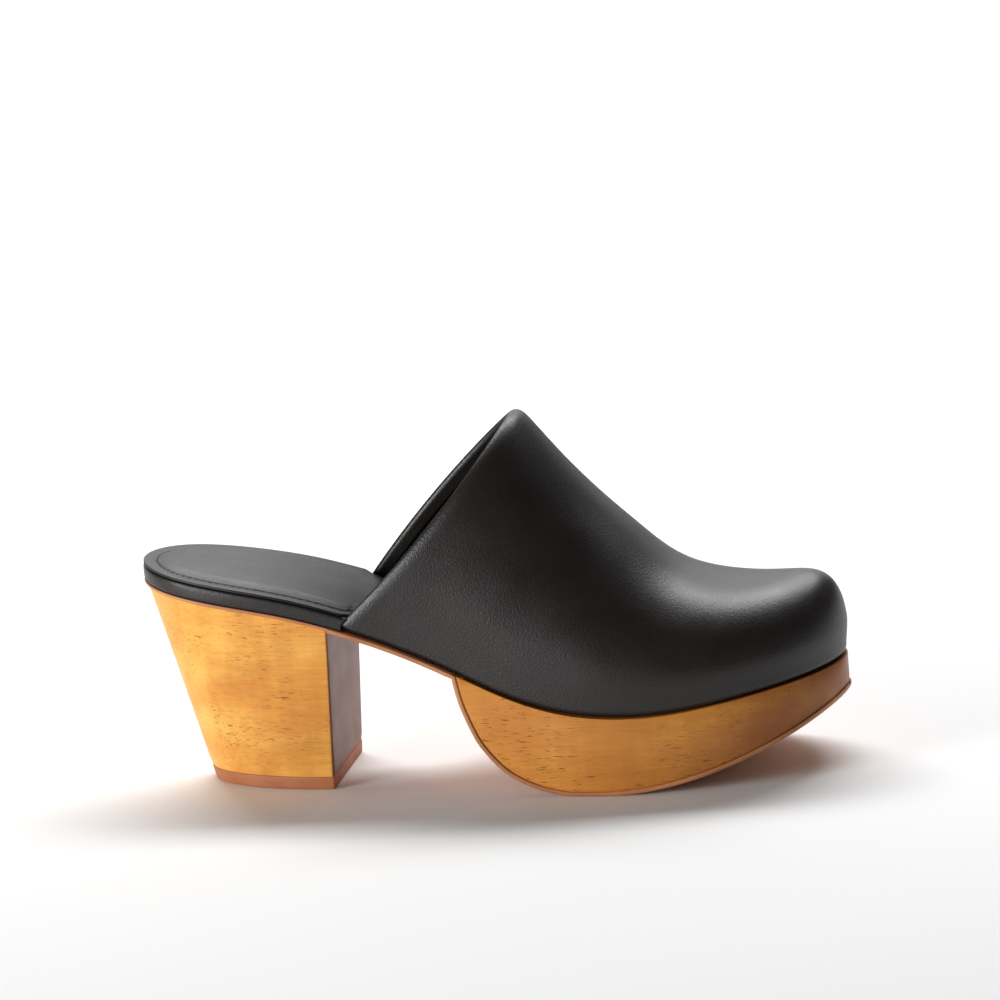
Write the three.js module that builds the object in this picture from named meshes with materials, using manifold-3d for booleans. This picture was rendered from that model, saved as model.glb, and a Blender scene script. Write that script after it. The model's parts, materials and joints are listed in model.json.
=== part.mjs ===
// A heeled platform clog for the right foot: a wooden platform and heel, a leather sole, a closed
// leather vamp that stops short of the heel, and a padded leather-covered insole.
//
// Millimetres. +X points to the toe, +Y to the inner side of the foot, +Z up. The origin is the
// middle of the shoe's footprint, on the floor.
import * as THREE from "three";
import { mergeVertices } from "three/addons/utils/BufferGeometryUtils.js";
import Module from "manifold-3d";

const wasm = await Module();
wasm.setup();

// ---------------------------------------------------------------- driving dimensions

// Plan
const length = 252; // heel back to toe tip
const width = 90; // across the ball of the foot
const heelLength = 72; // heel back to the heel's front face, at the seat
const vampLength = 114; // toe tip to the throat, where the vamp is highest
const platformLength = 134; // toe tip to the back edge of the platform
const toeCapLength = 17; // toe tip to the end of the vamp's ridge

// Heights above the floor
const seatHeight = 75; // sole top at the heel back
const treadHeight = 28; // sole top under the ball of the foot
const toeHeight = 36.7; // sole top at the toe tip
const toeSpring = 24.4; // sole bottom at the toe tip
const toeBoxTop = 67.5; // top of the vamp over the toes
const throatTop = 131; // top of the vamp at the throat

// The flat the platform stands on, measured back from the toe tip
const treadFront = 80.5;
const treadBack = 94.5;

// Thicknesses
const soleThickness = 1.6;
const tongueThickness = 1.2; // the sole, pared thin between the heel and the insole
const vampThickness = 1.2;
const liningThickness = 0.9;
const turnedThickness = 1.0; // the vamp's edge, turned in along the topline
const tapeThickness = 0.3;
const puffThickness = 0.8;
const wrapThickness = 0.9;
const boardThickness = 2.2;
const foamThickness = 1.5;
const sockThickness = 1.0;
const shankThickness = 1.0;
const liftThickness = 4.8;

// Widths and edges
const crown = 3; // how far the padding lifts the middle of the insole
const rimWidth = 5; // the flat rim outside the insole's stitching
const marginWidth = 12; // vamp leather lasted under the insole board
const wrapMargin = 9; // edge wrap turned under the insole board
const turnedWidth = 4; // the vamp's turned edge, measured along the sole
const tapeWidth = 3.2;
const featherRadius = 2.6; // bend of the vamp into its lasting margin
const vampProud = 0.9; // the vamp bulges this far outside the platform
const vampTuck = 0.2; // and is drawn in by this much where it meets it
const soleProud = 0.6; // and so does the sole's edge
const toplineSet = { [-1]: 6, [1]: 4.5 }; // the vamp's back corners, in front of the heel

// Heel
const heelBaseLength = 48.5;
const heelBaseWidth = 52.5;
const breastSet = 3; // the heel's front face leans back by this much at the floor
const heelInset = 0.8; // the heel's top edge stands inside the insole's edge

// Fasteners
const nailLength = 20;
const nailRadius = 1.1;
const nailHeadRadius = 2.3;
const screwLength = 36;
const screwRadius = 2;
const screwHeadRadius = 4;
const headThickness = 0.8;
const liftPinRadius = 1.2;
const liftPinLength = 15;
const liftPinCover = 1.6; // rubber left under a lift pin
const rivetRadius = 1.6;
const rivetHeadRadius = 3;
const rivetHeadThickness = 0.5;

// Steel shank
const shankWidth = 11;
const shankBack = 28; // its back end, in front of the heel back
const shankFront = 8; // its front end, in front of the platform's back edge

// Stitching
const threadRadius = 0.35;
const threadLift = 0.35; // keeps the thread clear of the insole's facets

// Clearances
const gap = 0.3;
const stackGap = 0.2;
const sliver = 0.03; // keeps the faces of two joined shells from lying in one another

// ---------------------------------------------------------------- places along the shoe

const heelBack = -length / 2;
const toeTip = length / 2;
const breastX = heelBack + heelLength;
const wrapEnd = breastX + Math.min(toplineSet[-1], toplineSet[1]);
const throatX = toeTip - vampLength;
const ridgeEnd = toeTip - toeCapLength;
const platformBack = toeTip - platformLength;
const station = length / 13; // the profile tables' spacing

// Heights of the layers above the sole top
const marginTop = gap + vampThickness;
const boardLow = marginTop + stackGap;
const boardTop = boardLow + boardThickness;
const foamLow = boardTop + gap;
const foamTop = foamLow + foamThickness;
const sockLow = foamTop + stackGap;
const sockTop = sockLow + sockThickness;

// Depths of the vamp's layers behind its outer face
const turnedDepth = vampThickness + tapeThickness + 2 * gap;
const puffDepth = vampThickness + stackGap;
const liningDepth = vampThickness + gap;
const toeLiningDepth = puffDepth + puffThickness + gap;

const { smoothstep, lerp, clamp } = THREE.MathUtils;

// ---------------------------------------------------------------- curves

// A uniform cubic B-spline's four weights at a share of the way along its span.
function bsplineWeights(f) {
  const g = 1 - f;
  return [
    (g * g * g) / 6,
    (3 * f ** 3 - 6 * f * f + 4) / 6,
    (3 * g ** 3 - 6 * g * g + 4) / 6,
    (f * f * f) / 6,
  ];
}

// A smooth height curve through values at even stations, straight beyond its ends. Each control
// value is its own value less a sixth of the second difference, which makes the spline meet it.
function profile(values, skip = 0) {
  const last = values.length - 1;
  const at = (i) => {
    if (i < 0) return values[0] + i * (values[1] - values[0]);
    if (i > last) return values[last] + (i - last) * (values[last] - values[last - 1]);
    return values[i];
  };
  const control = (i) => at(i) - (at(i - 1) - 2 * at(i) + at(i + 1)) / 6;
  return (x) => {
    const s = (x - heelBack) / station - skip;
    const i = Math.floor(s);
    const weights = bsplineWeights(s - i);
    return weights.reduce((sum, weight, k) => sum + weight * control(i - 1 + k), 0);
  };
}

// The lower of two heights, rounded where they cross.
function softMin(a, b, round) {
  return -round * Math.log(Math.exp(-a / round) + Math.exp(-b / round));
}

// Height of the sole's top: the seat, the steep waist, the tread and the rising toe.
const soleFall = [1, 0.936, 0.87, 0.792, 0.673, 0.53, 0.353, 0.164, 0.042, 0];
const soleRise = [0.069, 0.37, 0.713, 1];
const soleTop = profile([
  ...soleFall.map((share) => lerp(treadHeight, seatHeight, share)),
  ...soleRise.map((share) => lerp(treadHeight, toeHeight, share)),
]);

// Height of the vamp's ridge, from the throat to the toe. It is level for a little at the throat.
const ridgeFall = [1.06, 0.663, 0.345, 0.074, -0.016, 0.021, 0.021];
const throatRound = 1.6;
const ridgeLine = profile(
  ridgeFall.map((share) => lerp(toeBoxTop, throatTop, share)),
  (throatX - heelBack) / station,
);
const ridgeTop = (x) => softMin(ridgeLine(x), throatTop, throatRound);

const slopeOf = (curve, x) => curve(x + 0.5) - curve(x - 0.5);

// The sole's outline in plan, from the heel back along the outer side and round the toe. The inner
// side is the straighter one, and the toe's tip is a little to the inner side of the middle.
const outlineControls = [
  [-125, 0],
  [-111, -26],
  [-80, -32.4],
  [-46, -33],
  [-12, -36],
  [22, -42],
  [55, -45],
  [88, -39.5],
  [113, -22],
  [125, 5],
  [114, 30],
  [90, 42],
  [58, 43.5],
  [24, 38.5],
  [-12, 30.5],
  [-46, 26.5],
  [-80, 29.5],
  [-111, 26],
];

function makeOutline() {
  const count = outlineControls.length;
  const samples = 24;
  const points = [];
  for (let i = 0; i < count; i++)
    for (let k = 0; k < samples; k++) {
      const weights = bsplineWeights(k / samples);
      const point = new THREE.Vector2();
      weights.forEach((weight, j) => {
        const [x, y] = outlineControls[(i - 1 + j + count) % count];
        point.x += weight * x;
        point.y += weight * y;
      });
      points.push(point);
    }
  const box = new THREE.Box2().setFromPoints(points);
  const centre = box.getCenter(new THREE.Vector2());
  const size = box.getSize(new THREE.Vector2());
  const scale = new THREE.Vector2(length / size.x, width / size.y);
  points.forEach((point) => point.sub(centre).multiply(scale));
  return points;
}

const outline = makeOutline();

// One side of the outline, as evenly spaced points from the heel back to the toe tip. The outer
// side is -1 and the inner side is 1.
function makeSide(side) {
  const order = side < 0 ? outline : [...outline].reverse();
  const start = order.reduce((best, p, i) => (p.x < order[best].x ? i : best), 0);
  const turned = [...order.slice(start), ...order.slice(0, start)];
  const end = turned.reduce((best, p, i) => (p.x > turned[best].x ? i : best), 0);
  const path = new THREE.CurvePath();
  for (let i = 0; i < end; i++) path.add(new THREE.LineCurve(turned[i], turned[i + 1]));
  return path.getSpacedPoints(400);
}

const sides = { [-1]: makeSide(-1), [1]: makeSide(1) };

// A point of one side, at a share of the way from the heel back to the toe tip, moved inwards.
function edgePoint(side, share, inset = 0) {
  const points = sides[side];
  const last = points.length - 1;
  const s = clamp(share, 0, 1) * last;
  const i = Math.min(Math.floor(s), last - 1);
  const at = points[i].clone().lerp(points[i + 1], s - i);
  const ends = [points[Math.max(i - 3, 0)], points[Math.min(i + 4, last)]];
  const along = ends[1].clone().sub(ends[0]).normalize();
  const inward = new THREE.Vector2(along.y * side, -along.x * side);
  if (share <= 0) inward.set(1, 0);
  if (share >= 1) inward.set(-1, 0);
  return at.addScaledVector(inward, inset);
}

// The share of a side at which it reaches x, and its Y there.
function shareAt(side, x) {
  const points = sides[side];
  const i = Math.max(points.findIndex((p) => p.x >= x), 1);
  const f = (x - points[i - 1].x) / (points[i].x - points[i - 1].x);
  return (i - 1 + clamp(f, 0, 1)) / (points.length - 1);
}

function edgeY(side, x, inset = 0) {
  return edgePoint(side, shareAt(side, x)).y - side * inset;
}

// The whole outline moved inwards, as a closed loop.
function insetLoop(inset, steps = 32) {
  const shares = Array.from({ length: steps + 1 }, (_, i) => i / steps);
  const outer = shares.map((share) => edgePoint(-1, share, inset));
  const inner = shares.slice(1, -1).map((share) => edgePoint(1, share, inset));
  return [...outer, ...inner.reverse()];
}

// The underside of the platform, in side view, from its thin back edge to the toe tip: it rolls
// down to the tread, runs flat, and springs up to the toe.
const rollShares = [
  [0, 1],
  [0.045, 0.8],
  [0.102, 0.641],
  [0.193, 0.45],
  [0.292, 0.322],
  [0.391, 0.224],
  [0.492, 0.152],
  [0.65, 0.08],
  [0.805, 0.033],
  [1, 0],
];
const springPower = 1.75;

function platformUnderside() {
  const rollLength = toeTip - treadBack - platformBack;
  const drop = soleTop(platformBack) - soleThickness;
  const roll = new THREE.SplineCurve(
    rollShares.map(
      ([along, up]) =>
        new THREE.Vector2(platformBack + along * rollLength, soleThickness + up * drop),
    ),
  ).getPoints(24);
  const springStart = toeTip - treadFront;
  const steps = 14;
  const spring = Array.from({ length: steps + 1 }, (_, i) => {
    const share = (1.03 * i) / steps;
    const height = soleThickness + toeSpring * share ** springPower;
    return new THREE.Vector2(springStart + share * treadFront, height);
  });
  return [...roll, ...spring];
}

// A path in side view moved down, with mitred corners.
function lowered(path, distance) {
  return path.map((point, i) => {
    const before = path[Math.max(i - 1, 0)];
    const after = path[Math.min(i + 1, path.length - 1)];
    const a = (i ? point.clone().sub(before) : after.clone().sub(point)).normalize();
    const b = (i < path.length - 1 ? after.clone().sub(point) : a.clone()).normalize();
    const normal = new THREE.Vector2(a.y + b.y, -a.x - b.x).normalize();
    const mitre = distance / Math.max(normal.dot(new THREE.Vector2(a.y, -a.x)), 0.5);
    return point.clone().addScaledVector(normal, mitre);
  });
}

// The sole's top in side view between two places, raised by a layer height. Every layer bends at
// the same places, so that layers stay side by side.
function soleLine(from, to, raise = 0) {
  const bend = station / 2;
  const bends = Array.from({ length: 40 }, (_, i) => heelBack + (i - 4) * bend);
  const places = [from, ...bends.filter((x) => x > from + 1 && x < to - 1), to];
  return places.map((x) => new THREE.Vector2(x, soleTop(x) + raise));
}

// ---------------------------------------------------------------- solids

// A closed mesh as a manifold-3d solid, turned the right way out.
function solidFrom(geometry) {
  const bare = geometry.index ? geometry.toNonIndexed() : geometry.clone();
  bare.deleteAttribute("normal");
  bare.deleteAttribute("uv");
  const merged = mergeVertices(bare, 1e-4);
  const corners = merged.index.array;
  const build = (flip) => {
    const kept = [];
    for (let i = 0; i < corners.length; i += 3) {
      const [a, b, c] = corners.slice(i, i + 3);
      if (a !== b && b !== c && c !== a) kept.push(...(flip ? [b, a, c] : [a, b, c]));
    }
    const triVerts = new Uint32Array(kept);
    const vertProperties = merged.attributes.position.array;
    return new wasm.Manifold(new wasm.Mesh({ numProp: 3, vertProperties, triVerts }));
  };
  const made = build(false);
  return made.volume() < 0 ? build(true) : made;
}

// Everything over a plan outline.
function column(loop) {
  const geometry = new THREE.ExtrudeGeometry(new THREE.Shape(loop), {
    depth: 4 * throatTop,
    bevelEnabled: false,
  });
  return solidFrom(geometry.translate(0, 0, -throatTop));
}

// Everything across a side-view outline.
function slice(points) {
  const geometry = new THREE.ExtrudeGeometry(new THREE.Shape(points), {
    depth: 2 * width,
    bevelEnabled: false,
  });
  return solidFrom(geometry.translate(0, 0, -width).rotateX(Math.PI / 2));
}

// A layer that follows the sole's top between two stations and two heights.
function layer(from, to, low, high) {
  return slice([...soleLine(from, to, low), ...soleLine(from, to, high).reverse()]);
}

// Joins rows of points into quads, as triangles of a vertex list.
function stitchRows(vertices, rows, flip) {
  for (let i = 0; i + 1 < rows.length; i++)
    for (let k = 0; k + 1 < rows[i].length; k++) {
      const [a, b] = [rows[i][k], rows[i][k + 1]];
      const [c, d] = [rows[i + 1][k], rows[i + 1][k + 1]];
      const triangles = flip ? [a, c, b, b, c, d] : [a, b, c, b, d, c];
      triangles.forEach((point) => vertices.push(...point));
    }
}

function geometryOf(vertices) {
  return new THREE.BufferGeometry().setAttribute(
    "position",
    new THREE.Float32BufferAttribute(vertices, 3),
  );
}

// A pad over the whole outline: rows of points at growing insets, with a height above the sole's
// top for each inset, so that its middle can be crowned.
function pad(edgeInset, low, high, insets = [0, 4, 8, 13, 19]) {
  const steps = 30;
  const vertices = [];
  const rowsAt = (height) =>
    Array.from({ length: steps + 1 }, (_, i) => {
      const share = (1 - Math.cos((Math.PI * i) / steps)) / 2;
      const half = (side) =>
        insets.map((inset) => {
          const point = edgePoint(side, share, edgeInset + inset);
          return [point.x, point.y, soleTop(point.x) + height(inset)];
        });
      return [...half(-1), ...half(1).reverse()];
    });
  const lowRows = rowsAt(low);
  const highRows = rowsAt(high);
  stitchRows(vertices, highRows, false);
  stitchRows(vertices, lowRows, true);
  const wall = (pick) => lowRows.map((row, i) => [pick(row), pick(highRows[i])]);
  stitchRows(vertices, wall((row) => row[0]), false);
  stitchRows(vertices, wall((row) => row.at(-1)), true);
  return solidFrom(geometryOf(vertices));
}

// ---------------------------------------------------------------- the vamp's surface

const footShareOf = (side) => shareAt(side, breastX + toplineSet[side]);
const footShare = { [-1]: footShareOf(-1), [1]: footShareOf(1) };
const sideLength = (toeTip - wrapEnd) * 1.12; // along the sole's edge, from topline to toe tip
const ridgeSpan = ridgeEnd - throatX;
const toeMeet = 0.4; // the share of the ridge over which the two halves turn to meet square at the toe

// How far along the ridge the line q starts: evenly, then slowing to a stop at the toe.
function ridgeShare(q) {
  if (q < 1 - toeMeet) return q;
  const left = (1 - q) / toeMeet;
  return 1 - toeMeet * left * left * (3 - 3 * left + left * left);
}

// Section shape along the vamp, from the topline to the toe.
const sectionPower = (q) => lerp(2.2, 3, smoothstep(q, 0.5, 1));
const crestTaper = (q) => lerp(0.1, 0, smoothstep(q, 0, 0.6));
const ridgeY = (q) => lerp(2.5, 5, smoothstep(q, 0, 1));
const toplineBow = { [-1]: 0.22, [1]: -0.2 }; // forward on the outer side, back on the inner
const toeTurn = (q) => smoothstep(q, 0.4, 0.85);

// A point of the vamp. Side -1 is the outer side, q runs from the topline to the toe tip, turn runs
// from the sole to the ridge in radians, and depth is measured in from the outer face.
function vampPoint(side, q, turn, depth) {
  const power = sectionPower(q);
  const [cos, sin] = [Math.cos(turn), Math.sin(turn)];
  const reach = (Math.max(cos, 0) ** power + sin ** power) ** (-1 / power);
  const out = Math.max(reach * cos, 0);
  const up = reach * sin;
  const share = lerp(footShare[side], 1, q);
  const proud = lerp(-vampTuck, vampProud, smoothstep(turn, 0, 0.35));
  const foot = edgePoint(side, share, depth - proud);
  const ridgeX = throatX + ridgeSpan * ridgeShare(q);
  const slope = slopeOf(ridgeTop, ridgeX);
  const ridgeZ = ridgeTop(ridgeX) - depth * Math.hypot(1, slope);
  const turned = toeTurn(q);
  const rise = up + toplineBow[side] * up * (1 - up);
  const x = ridgeX + (foot.x - ridgeX) * lerp(1 - rise, out, turned);
  const edge = lerp(edgeY(side, x, depth - proud), foot.y, turned);
  const y = ridgeY(q) + (edge - ridgeY(q)) * out * (1 - crestTaper(q) * up * up);
  const base = soleTop(foot.x) + gap + featherRadius;
  return [x, y, base + (ridgeZ - base) * up];
}

// The share of the vamp's length that lies a distance in front of the topline, at a turn.
function distanceShare(distance, turn) {
  return distance / lerp(sideLength, ridgeSpan, Math.sin(turn));
}

// One line of the vamp from the sole to its ridge.
function plainLine(side, q, depth, turns) {
  return turns.map((turn) => vampPoint(side, q(turn), turn, depth));
}

// The same with its lasting margin, which lies on the sole's top.
function lastedLine(side, q, depth, turns) {
  const share = lerp(footShare[side], 1, q(0));
  const low = [marginWidth, (marginWidth + featherRadius) / 2, featherRadius].map((inset) => {
    const point = edgePoint(side, share, inset + vampTuck);
    return [point.x, point.y, soleTop(point.x) + gap + depth];
  });
  const foot = edgePoint(side, share, depth + vampTuck);
  const bend = [30, 60].map((degrees) => {
    const angle = THREE.MathUtils.degToRad(degrees);
    const radius = featherRadius - depth;
    const inset = featherRadius - radius * Math.sin(angle) + vampTuck;
    const point = edgePoint(side, share, inset);
    const height = gap + featherRadius - radius * Math.cos(angle);
    return [point.x, point.y, soleTop(foot.x) + height];
  });
  return [...low, ...bend, ...plainLine(side, q, depth, turns)];
}

// The vamp's layers share these lines and turns, so that their facets stay side by side.
const vampLines = 22;
const vampRises = 9;
const toeLines = (first) =>
  Array.from({ length: vampLines + 1 - first }, (_, i) => () => (first + i) / vampLines);
const fromTopline = (distance) => (turn) => distanceShare(distance, turn);
const edgeLines = [0.7, tapeWidth / 2, tapeWidth].map(fromTopline);
const skinLines = [() => 0, ...edgeLines, ...toeLines(1)];

// A shell between two depths of the vamp, over a list of lines. Each line gives the share of the
// vamp's length at each turn. A shell that runs to the toe tip is closed there by its other side.
function shell({ outer, inner, lines, line = plainLine, lowest = 0 }) {
  const turns = Array.from(
    { length: vampRises + 1 },
    (_, k) => lowest + ((Math.PI / 2 - lowest) * k) / vampRises,
  );
  const open = lines.at(-1)(0) < 1;
  const vertices = [];
  for (const side of [-1, 1]) {
    const [outerRows, innerRows] = [outer, inner].map((depth) =>
      lines.map((q) => line(side, q, depth(q(0)), turns)),
    );
    const flip = side > 0;
    stitchRows(vertices, outerRows, flip);
    stitchRows(vertices, innerRows, !flip);
    stitchRows(vertices, outerRows.map((row, i) => [innerRows[i][0], row[0]]), flip);
    stitchRows(vertices, [innerRows[0], outerRows[0]], flip);
    if (open) stitchRows(vertices, [outerRows.at(-1), innerRows.at(-1)], flip);
  }
  return solidFrom(geometryOf(vertices));
}

const depthOf = (value) => () => value;

// The lining lies against the vamp, and goes round the stiffener at the toe.
const liningAt = (q) => lerp(liningDepth, toeLiningDepth, smoothstep(q, 0.55, 0.7));

// What the vamp and its layers need free around them, for cutting the insole's layers.
function vampClearance() {
  const back = fromTopline(-vampThickness - gap);
  return shell({
    outer: depthOf(-gap),
    inner: (q) => Math.max(liningAt(q) + liningThickness, turnedDepth + turnedThickness) + gap,
    lines: [back, ...skinLines],
    line: (side, q, depth, turns) => {
      const [x, y] = vampPoint(side, q(0), 0, depth);
      return [[x, y, soleTop(x) - gap], ...plainLine(side, q, depth, turns)];
    },
  });
}

// ---------------------------------------------------------------- fasteners

// A turned piece standing at a point of a height curve, square to it.
function standing(points, x, y, height, curve = soleTop) {
  const outlinePoints = points.map(([radius, z]) => new THREE.Vector2(radius, z));
  const geometry = new THREE.LatheGeometry(outlinePoints, 12);
  geometry.rotateX(Math.PI / 2);
  geometry.rotateY(-Math.atan(slopeOf(curve, x)));
  return solidFrom(geometry.translate(x, y, curve(x) + height));
}

// Nails and screws hang down from their heads. grow is the clearance of the hole they need.
function headedProfile(headRadius, shankRadius, long, grow = 0) {
  return [
    [0, grow],
    [headRadius + grow, grow],
    [headRadius + grow, -headThickness - grow],
    [shankRadius + grow, -headThickness - grow],
    [shankRadius + grow, -long + 2 * shankRadius - grow],
    [0, -long - grow],
  ];
}

const headHeight = boardTop - 0.1; // the heads are driven just below the board's face
const floorCurve = () => 0;

const seatCentre = breastX - heelLength * 0.45;
const nailRing = [
  [-27, 0],
  [-17, -17],
  [-17, 17],
  [10, -19],
  [10, 18],
];

function heelNail([dx, y], grow) {
  const points = headedProfile(nailHeadRadius, nailRadius, nailLength, grow);
  return standing(points, seatCentre + dx, y, headHeight);
}

function heelScrew(grow) {
  const points = headedProfile(screwHeadRadius, screwRadius, screwLength, grow);
  return standing(points, seatCentre - 8, 0, headHeight);
}

const liftPinPlaces = [
  [-12, 0],
  [-28, -11],
  [-28, 11],
  [-42, 0],
];

function liftPin([dx, y], grow = 0) {
  const bottom = liftPinCover - grow;
  const top = liftPinCover + liftPinLength + grow;
  const radius = liftPinRadius + grow;
  const points = [
    [0, bottom],
    [radius, bottom],
    [radius, top - radius],
    [0, top],
  ];
  return standing(points, breastX - breastSet + dx, y, 0, floorCurve);
}

const shankStart = heelBack + shankBack;
const shankEnd = platformBack + shankFront;
const shankLow = boardLow - stackGap - shankThickness;

function shankRivet(x, grow = 0) {
  const square = 1 / Math.hypot(1, slopeOf(soleTop, x)); // the layers' thickness, squarely across
  const top = headHeight * square;
  const bottom = shankLow * square - rivetHeadThickness;
  const points = [
    [0, bottom - grow],
    [rivetHeadRadius + grow, bottom - grow],
    [rivetHeadRadius + grow, bottom + rivetHeadThickness - stackGap + grow],
    [rivetRadius + grow, bottom + rivetHeadThickness - stackGap + grow],
    [rivetRadius + grow, top - rivetHeadThickness - grow],
    [rivetHeadRadius + grow, top - rivetHeadThickness - grow],
    [rivetHeadRadius + grow, top + grow],
    [0, top + grow],
  ];
  return standing(points, x, 0, 0);
}

const rivetPlaces = {
  shank_rivet_front: shankEnd - 12,
  shank_rivet_rear: breastX + 10,
};

const seatHoles = () => [
  ...nailRing.map((place) => heelNail(place, stackGap)),
  heelScrew(stackGap),
  ...Object.values(rivetPlaces).map((x) => shankRivet(x, stackGap)),
];

function without(solid, tools) {
  return tools.reduce((rest, tool) => rest.subtract(tool), solid);
}

// ---------------------------------------------------------------- pieces

const underside = platformUnderside();
const beyond = 20; // how far a cutting shape runs past what it cuts

// The wooden platform: the sole's outline, between the sole's top and its own underside.
function platformBlock() {
  const top = soleLine(platformBack, underside.at(-1).x).reverse();
  return slice([...underside.slice(1), ...top]).intersect(column(insetLoop(0)));
}

// The heel tapers in straight lines from the seat's outline down to its base, half an ellipse.
function heelTaper(low, high) {
  const steps = 14;
  const ring = (height) => {
    const half = (side) =>
      Array.from({ length: steps + 1 }, (_, i) => {
        const turn = ((Math.PI / 2) * i) / steps;
        const seat = edgePoint(side, shareAt(side, breastX) * Math.cos(turn), heelInset);
        const base = new THREE.Vector2(
          breastX - breastSet - heelBaseLength * Math.sin(turn),
          (side * heelBaseWidth * Math.cos(turn)) / 2,
        );
        const point = base.lerp(seat, height / seatHeight);
        return [point.x, point.y, height];
      });
    return [...half(-1), ...half(1).reverse().slice(1)];
  };
  const rings = [ring(low), ring(high)].map((points) => [...points, points[0]]);
  const vertices = [];
  stitchRows(vertices, rings, false);
  rings.forEach((points, i) => {
    const centre = [seatCentre, 0, points[0][2]];
    stitchRows(vertices, [points.map(() => centre), points], i > 0);
  });
  return solidFrom(geometryOf(vertices));
}

function heelBlock() {
  const seatTop = -tongueThickness - stackGap;
  const above = layer(heelBack - beyond, breastX + beyond, seatTop, 2 * seatHeight);
  const pinHoles = liftPinPlaces.map((place) => liftPin(place, gap));
  return without(heelTaper(liftThickness, 1.2 * seatHeight), [above, ...seatHoles(), ...pinHoles]);
}

function topLift() {
  return without(
    heelTaper(0, liftThickness),
    liftPinPlaces.map((place) => liftPin(place, gap)),
  );
}

// The leather sole: thin over the heel, then the waist, and on down round the platform.
function outsole() {
  const waist = soleLine(breastX + gap, platformBack);
  const inside = [...waist, ...underside.slice(1)];
  const shape = slice([...lowered(inside, soleThickness), ...inside.toReversed()]);
  const tongue = layer(heelBack - 1, breastX + 4, -tongueThickness, 0);
  const body = shape.intersect(column(insetLoop(-soleProud)));
  return without(body.add(tongue.intersect(column(insetLoop(0)))), seatHoles());
}

function insoleBoard(clearance) {
  const sheet = layer(heelBack - 1, toeTip + 1, boardLow, boardTop);
  const shaped = sheet.intersect(column(insetLoop(wrapThickness + gap)));
  return without(shaped, [clearance, ...seatHoles()]);
}

function steelShank() {
  const strip = layer(shankStart, shankEnd, shankLow, shankLow + shankThickness);
  const plan = new THREE.Shape();
  const half = shankWidth / 2;
  plan.absarc(shankEnd - half, 0, half, -Math.PI / 2, Math.PI / 2);
  plan.absarc(shankStart + half, 0, half, Math.PI / 2, (3 * Math.PI) / 2);
  return without(strip.intersect(column(plan.getPoints(8))), seatHoles());
}

// Cork that levels the hollow inside the lasting margin, in front of the shank.
function corkFiller() {
  const sheet = layer(shankEnd + 2, toeTip, gap, marginTop - stackGap);
  return sheet.intersect(column(insetLoop(marginWidth + vampTuck + 1)));
}

const crownAt = (inset) => crown * smoothstep(inset, rimWidth - 1, rimWidth + 15);

function insoleFoam(clearance) {
  const foam = pad(wrapThickness + 2 * gap, () => foamLow, (inset) => foamTop + crownAt(inset));
  return foam.subtract(clearance);
}

function sockLining(clearance) {
  const lift = (inset) => crownAt(Math.max(inset - wrapThickness, 0));
  const sock = pad(
    0.2,
    (inset) => sockLow + lift(inset),
    (inset) => sockTop + lift(inset),
  );
  return sock.subtract(clearance);
}

// Leather round the insole's open edge, turned under the board.
function edgeWrap(clearance) {
  const wallEnd = wrapEnd + 16; // it runs on under the vamp's turned edge
  const ring = (inset) => column(insetLoop(0)).subtract(column(insetLoop(inset)));
  const wall = layer(heelBack - 1, wallEnd, boardLow, sockLow - stackGap);
  const lowWall = layer(heelBack - 1, wrapEnd - gap, gap, boardLow + 0.1);
  const turned = layer(heelBack - 1, wrapEnd - gap, gap, gap + wrapThickness);
  const sideRing = ring(wrapThickness);
  const wrap = wall
    .intersect(sideRing)
    .add(lowWall.intersect(sideRing))
    .add(turned.intersect(ring(wrapMargin)));
  return without(wrap, [clearance, ...seatHoles()]);
}

// The vamp: its skin with the lasting margin, joined round the topline to the turned-in edge.
function vamp() {
  const skin = shell({
    outer: depthOf(0),
    inner: depthOf(vampThickness),
    lines: skinLines,
    line: lastedLine,
  });
  const fold = shell({
    outer: depthOf(sliver),
    inner: depthOf(turnedDepth + turnedThickness - sliver),
    lines: [-vampThickness, 0.4].map(fromTopline),
  });
  const turned = shell({
    outer: depthOf(turnedDepth),
    inner: depthOf(turnedDepth + turnedThickness),
    lines: [fromTopline(0.1), ...edgeLines, fromTopline(turnedWidth)],
  });
  return skin.add(fold).add(turned);
}

function toplineTape() {
  return shell({
    outer: depthOf(vampThickness + gap),
    inner: depthOf(vampThickness + gap + tapeThickness),
    lines: edgeLines,
    lowest: 0.06,
  });
}

function vampLining() {
  return shell({
    outer: liningAt,
    inner: (q) => liningAt(q) + liningThickness,
    lines: [fromTopline(turnedWidth + gap), ...toeLines(2)],
    lowest: 0.02,
  });
}

function toePuff() {
  return shell({
    outer: depthOf(puffDepth),
    inner: depthOf(puffDepth + puffThickness),
    lines: toeLines(17),
    lowest: 0.02,
  });
}

// The thread of the insole's stitching, lying along its rim.
function sockThread() {
  const loop = insetLoop(rimWidth, 32).map(
    (p) => new THREE.Vector3(p.x, p.y, soleTop(p.x) + sockTop + threadRadius + threadLift),
  );
  const section = new THREE.Shape().absarc(0, 0, threadRadius, 0, 2 * Math.PI);
  const geometry = new THREE.ExtrudeGeometry(section, {
    extrudePath: new THREE.CatmullRomCurve3(loop, true),
    steps: 72,
    curveSegments: 3,
  });
  return solidFrom(geometry);
}

// ---------------------------------------------------------------- materials and assembly

const paint = (color, roughness, metalness = 0) =>
  new THREE.MeshStandardMaterial({ color, roughness, metalness });

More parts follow.
